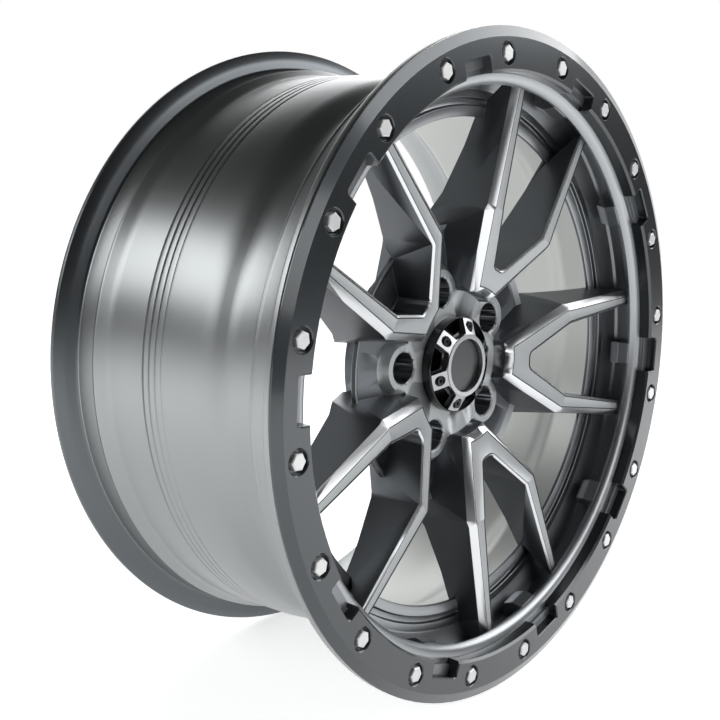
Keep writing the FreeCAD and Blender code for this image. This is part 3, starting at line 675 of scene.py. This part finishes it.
@dataclass
class HubLip:
    """The lip round the hub's web, turned in fine steps.

    Attributes:
        steps: Steps of one turn.
        section: Radius and depth of the section's points in millimetres.
    """

    steps: int = 128
    section: tuple[tuple[float, float], ...] = (
        (111.0, 73.6), (112.0, 73.5), (113.5, 72.6), (117.0, 70.2), (117.7, 69.8), (118.2, 70.0),
        (118.7, 72.0), (118.9, 73.2), (118.5, 74.0), (117.0, 75.3), (86.0, 101.2))

    def build(self) -> bpy.types.Object:
        """Turn the lip.

        Returns:
            The lip.
        """
        lip = trace("hub_lip", [Vector((radius * MM, depth_y(depth), 0.0)) for radius, depth in self.section])
        turn_round(self.steps)
        return lip

    def gap(self, radius: float, depth: float) -> float:
        """Return how far a place lies from the lip's section, in millimetres.

        Args:
            radius: Distance from the axle in millimetres.
            depth: Depth behind the ring's face in millimetres.

        Returns:
            The shortest distance.
        """
        ends = [Vector(point) for point in self.section]
        place = Vector((radius, depth))
        return min(off_line(place, start, end) for start, end in zip(ends, ends[1:]))


@dataclass
class Casting:
    """The casting's skin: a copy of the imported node, finished zone by zone.

    Attributes:
        node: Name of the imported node.
        smooth_deg: Faces that meet at less than this angle are shaded as one.
        line_mm: Width of the dark line round the faces of the spokes.
        line_depth_mm: Depth of that line.
        rim_gap_mm: How near a finely turned section a coarse face lies.
        rim_slant: How far such a face may lean round the axle.
    """

    node: str = "wheel_casting"
    smooth_deg: float = 18.0
    line_mm: float = 1.1
    line_depth_mm: float = 0.3
    rim_gap_mm: float = 0.6
    rim_slant: float = 0.06

    def build(self, nodes: dict[str, bpy.types.Object]) -> bpy.types.Object:
        """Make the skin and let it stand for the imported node.

        Args:
            nodes: Node name to its object.

        Returns:
            The skin.
        """
        rim, lip, blocks = Rim(), HubLip(), RimBlocks()
        pieces = [rim.build(), lip.build(), blocks.build()]
        skin = self.merged_copy(nodes[self.node])
        self.clear_coarse(skin, (rim.gap, lip.gap), blocks)
        for piece in pieces:
            piece.select_set(True)
        bpy.ops.object.join()
        self.lay_zones(skin)
        self.scribe_lines(skin)
        bpy.ops.object.shade_smooth_by_angle(angle=math.radians(self.smooth_deg))
        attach(skin, BODY)
        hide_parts(self.node)
        LOG.info("casting skin has %d faces", len(skin.data.polygons))
        return skin

    def merged_copy(self, source: bpy.types.Object) -> bpy.types.Object:
        """Copy a node and join its loose triangles.

        Args:
            source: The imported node.

        Returns:
            The copy, selected and active.
        """
        bpy.ops.object.select_all(action="DESELECT")
        skin = bpy.data.objects.new("casting_skin", source.data.copy())
        bpy.context.scene.collection.objects.link(skin)
        skin.select_set(True)
        bpy.context.view_layer.objects.active = skin
        bpy.ops.object.mode_set(mode="EDIT")
        bpy.ops.mesh.select_all(action="SELECT")
        bpy.ops.mesh.remove_doubles(threshold=PACKED_WELD)
        bpy.ops.mesh.select_all(action="DESELECT")
        bpy.ops.object.mode_set(mode="OBJECT")
        return skin

    def clear_coarse(
            self, skin: bpy.types.Object, gaps: tuple[Callable[[float, float], float], ...],
            blocks: RimBlocks) -> None:
        """Take the coarse turned faces and blocks off the skin, where finer pieces go.

        Args:
            skin: The casting's skin, active.
            gaps: Each gives the distance of a radius and depth from a section that is turned finely.
            blocks: The blocks that take the place of the coarse ones.
        """
        near = []
        for vertex in skin.data.vertices:
            radius, depth = radius_depth(vertex.co)
            near.append(min(gap(radius, depth) for gap in gaps) < self.rim_gap_mm)
        for face in skin.data.polygons:
            tangent = Vector((-face.center.z, 0.0, face.center.x)).normalized()
            turned = all(near[i] for i in face.vertices) and abs(face.normal.dot(tangent)) < self.rim_slant
            face.select = turned or blocks.covers(face.center)
        bpy.ops.object.mode_set(mode="EDIT")
        bpy.ops.mesh.select_mode(type="FACE")
        bpy.ops.mesh.delete(type="FACE")
        bpy.ops.object.mode_set(mode="OBJECT")

    def lay_zones(self, skin: bpy.types.Object) -> None:
        """Give each face of the skin the finish of its zone.

        Args:
            skin: The casting's skin.
        """
        finishes = list(dict.fromkeys(zone.finish for zone in CASTING_ZONES)) + [DARK_LINE]
        skin.data.materials.clear()
        for finish in finishes:
            skin.data.materials.append(finish.build())
        for face in skin.data.polygons:
            radius, depth = radius_depth(face.center)
            outward = Vector((face.center.x, 0.0, face.center.z)).normalized().dot(face.normal)
            spot = Spot(radius, depth, -face.normal.y, outward)
            zone = next(zone for zone in CASTING_ZONES if zone.holds(spot))
            face.material_index = finishes.index(DARK_LINE if zone is FACE_ZONE else zone.finish)

    def scribe_lines(self, skin: bpy.types.Object) -> None:
        """Scribe a thin dark line round the faces of the spokes.

        Args:
            skin: The casting's skin.
        """
        names = [material.name.split(".")[0] for material in skin.data.materials]
        bpy.ops.object.mode_set(mode="EDIT")
        bpy.ops.mesh.select_all(action="DESELECT")
        skin.active_material_index = names.index(DARK_LINE.name)
        bpy.ops.object.material_slot_select()
        bpy.ops.mesh.inset(thickness=self.line_mm * MM, depth=-self.line_depth_mm * MM, use_even_offset=True)
        # The faces inside the line get the lighter face colour, as painted light
        skin.active_material_index = names.index(FACE_PAINTED_LIGHT.name)
        bpy.ops.object.material_slot_assign()
        bpy.ops.object.mode_set(mode="OBJECT")


@dataclass
class Wheel:
    """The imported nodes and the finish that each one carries.

    Attributes:
        finishes: Node name to the finish on it.
    """

    finishes: dict[str, SprayedMetal | TurnedMetal] = field(default_factory=lambda: {
        "bead_ring": RING_BLACK,
        "ring_bolts": BOLT_STEEL_GLINT,
        # bolt heads carry a painted glint
        "cap_base": CAP_BLACK,
        "cap_spider": CAP_SILVER,
        "cap_insert": CAP_DISC,
        "cap_screws": SCREW_BLACK,
    })

    def dress(self, nodes: dict[str, bpy.types.Object]) -> None:
        """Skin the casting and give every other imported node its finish.

        Args:
            nodes: Node name to its object.
        """
        Casting().build(nodes)
        for name, finish in self.finishes.items():
            mesh = nodes[name].data
            mesh.materials.clear()
            mesh.materials.append(finish.build())
            LOG.info("%s finished in %s", name, finish.name)


@dataclass(frozen=True)
class SoftBox:
    """A soft box that faces the wheel.

    Attributes:
        name: Name of the lamp.
        place: Where it hangs.
        width: Width in metres.
        height: Height in metres.
        level: How bright its front looks, where 1 is white.
    """

    name: str
    place: tuple[float, float, float]
    width: float
    height: float
    level: float


@dataclass
class Studio:
    """Pale floor, soft lights and the camera at the photograph's view.

    Attributes:
        floor_z: Height of the floor.
        eye: Place of the camera.
        ahead: Direction that the camera looks in.
        above: Direction that is up in the picture.
        lens_mm: Focal length of the camera.
        sensor_mm: Width of its sensor.
        floor_white: How bright the floor looks by itself beside the wheel, where it keeps the shadow.
        floor_near: Distance from the wheel's middle up to which it looks so.
        floor_far: Distance from which it is white by itself.
        floor_size: Width and length of the floor.
        floor_front: How far the floor runs out in front of the wheel.
        floor_colour: Colour of the floor as sRGB hex.
        floor_roughness: Roughness of the floor.
        sweep_edge: Cosine from the camera's direction at which the room ends and the sweep begins.
        sweep_full: Cosine from which the sweep is white.
        room: How bright the room round the sweep looks.
        boxes: The soft boxes.
    """

    floor_z: float = -0.2716
    eye: tuple[float, float, float] = (-0.6855, -0.5669, 0.1063)
    ahead: tuple[float, float, float] = (0.740646, 0.660170, -0.124972)
    above: tuple[float, float, float] = (0.064720, 0.115037, 0.991251)
    lens_mm: float = 50.05
    sensor_mm: float = 36.0
    floor_white: float = 0.66
    floor_near: float = 0.35
    floor_far: float = 1.1
    floor_size: float = 60.0
    floor_front: float = 2.0
    floor_colour: str = "f6f6f6"
    floor_roughness: float = 0.9
    sweep_edge: float = 0.42
    sweep_full: float = 0.68
    room: float = 0.03
    boxes: tuple[SoftBox, ...] = (
        SoftBox("barrel_streak", (-1.95, 0.92, 1.0), 2.5, 0.85, 3.2),
        SoftBox("top_band", (1.25, 1.42, 1.1), 1.4, 0.7, 2.2),
        SoftBox("face_panel", (1.7, -1.5, 1.35), 2.8, 1.3, 3.6),
        SoftBox("front_panel", (0.3, -2.4, 0.6), 1.2, 0.8, 2.6),
    )

    def build(self) -> None:
        """Make the floor, the lights and the camera."""
        self.add_floor()
        self.add_world()
        self.add_lights()
        self.add_camera()

    def add_floor(self) -> None:
        """Lay a wide white floor that keeps the wheel's soft shadow."""
        bpy.ops.object.select_all(action="DESELECT")
        bpy.ops.mesh.primitive_plane_add(size=1.0)
        floor = bpy.context.object
        floor.name = "floor"
        floor.scale = (self.floor_size, self.floor_size, 1.0)
        floor.location = (0.0, self.floor_size / 2 - self.floor_front, self.floor_z)
        bpy.ops.object.transform_apply()
        material, shader, place = new_material("floor_white")
        tree = material.node_tree
        path = add_node(tree, "ShaderNodeLightPath")
        mirrored = add_node(tree, "ShaderNodeMath", {
            0: path.outputs["Is Glossy Ray"],
            1: path.outputs["Is Transmission Ray"],
        }, operation="MAXIMUM")
        seen = add_node(tree, "ShaderNodeMath", {
            0: path.outputs["Is Camera Ray"],
            1: mirrored.outputs["Value"],
        }, operation="MAXIMUM")
        away = add_node(tree, "ShaderNodeVectorMath", {0: place}, operation="LENGTH")
        white = add_node(tree, "ShaderNodeMapRange", {
            "Value": away.outputs["Value"],
            "From Min": self.floor_near,
            "From Max": self.floor_far,
            "To Min": self.floor_white,
            "To Max": 1.0,
        })
        glow = add_node(tree, "ShaderNodeMath", {
            0: seen.outputs["Value"],
            1: white.outputs["Result"],
        }, operation="MULTIPLY")
        tree.links.new(glow.outputs["Value"], shader.inputs["Emission Strength"])
        shader.inputs["Emission Color"].default_value = WHITE
        shader.inputs["Base Color"].default_value = linear(self.floor_colour)
        shader.inputs["Roughness"].default_value = self.floor_roughness
        floor.data.materials.append(material)

    def add_world(self) -> None:
        """Set a white sweep behind the wheel that fades into a dim room round it."""
        world = bpy.data.worlds.new("studio")
        bpy.context.scene.world = world
        world.use_nodes = True
        tree = world.node_tree
        shade = tree.nodes["Background"]
        shade.inputs["Color"].default_value = WHITE
        way = add_node(tree, "ShaderNodeTexCoord").outputs["Generated"]
        facing = add_node(tree, "ShaderNodeVectorMath", {0: way, 1: self.ahead}, operation="DOT_PRODUCT")
        sweep = add_node(tree, "ShaderNodeMapRange", {
            "Value": facing.outputs["Value"],
            "From Min": self.sweep_edge,
            "From Max": self.sweep_full,
            "To Min": self.room,
            "To Max": 1.0,
        }, interpolation_type="SMOOTHSTEP")
        tree.links.new(sweep.outputs["Result"], shade.inputs["Strength"])

    def add_lights(self) -> None:
        """Hang soft boxes round the wheel."""
        for box in self.boxes:
            lamp = bpy.data.lights.new(box.name, "AREA")
            lamp.shape = "RECTANGLE"
            lamp.size = box.width
            lamp.size_y = box.height
            lamp.energy = box.level * math.pi * box.width * box.height
            lamp_object = bpy.data.objects.new(box.name, lamp)
            lamp_object.location = box.place
            lamp_object.rotation_euler = (-Vector(box.place)).to_track_quat("-Z", "Y").to_euler()
            bpy.context.scene.collection.objects.link(lamp_object)

    def add_camera(self) -> None:
        """Set up the camera at the photograph's view."""
        ahead = Vector(self.ahead).normalized()
        right = ahead.cross(Vector(self.above)).normalized()
        above = right.cross(ahead)
        camera = bpy.data.cameras.new("photo_view")
        camera.sensor_width = self.sensor_mm
        camera.lens = self.lens_mm
        camera_object = bpy.data.objects.new("photo_view", camera)
        turn = Matrix((right, above, -ahead)).transposed()
        camera_object.matrix_world = Matrix.Translation(self.eye) @ turn.to_4x4()
        bpy.context.scene.collection.objects.link(camera_object)
        bpy.context.scene.camera = camera_object


def main() -> None:
    """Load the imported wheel, dress it and set up the studio."""
    logging.basicConfig(level=logging.INFO, format="%(name)s: %(message)s")
    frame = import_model()
    Wheel().dress(frame["nodes"])
    Studio().build()
    bpy.context.scene.view_settings.view_transform = "Standard"


if __name__ == "__main__":
    main()
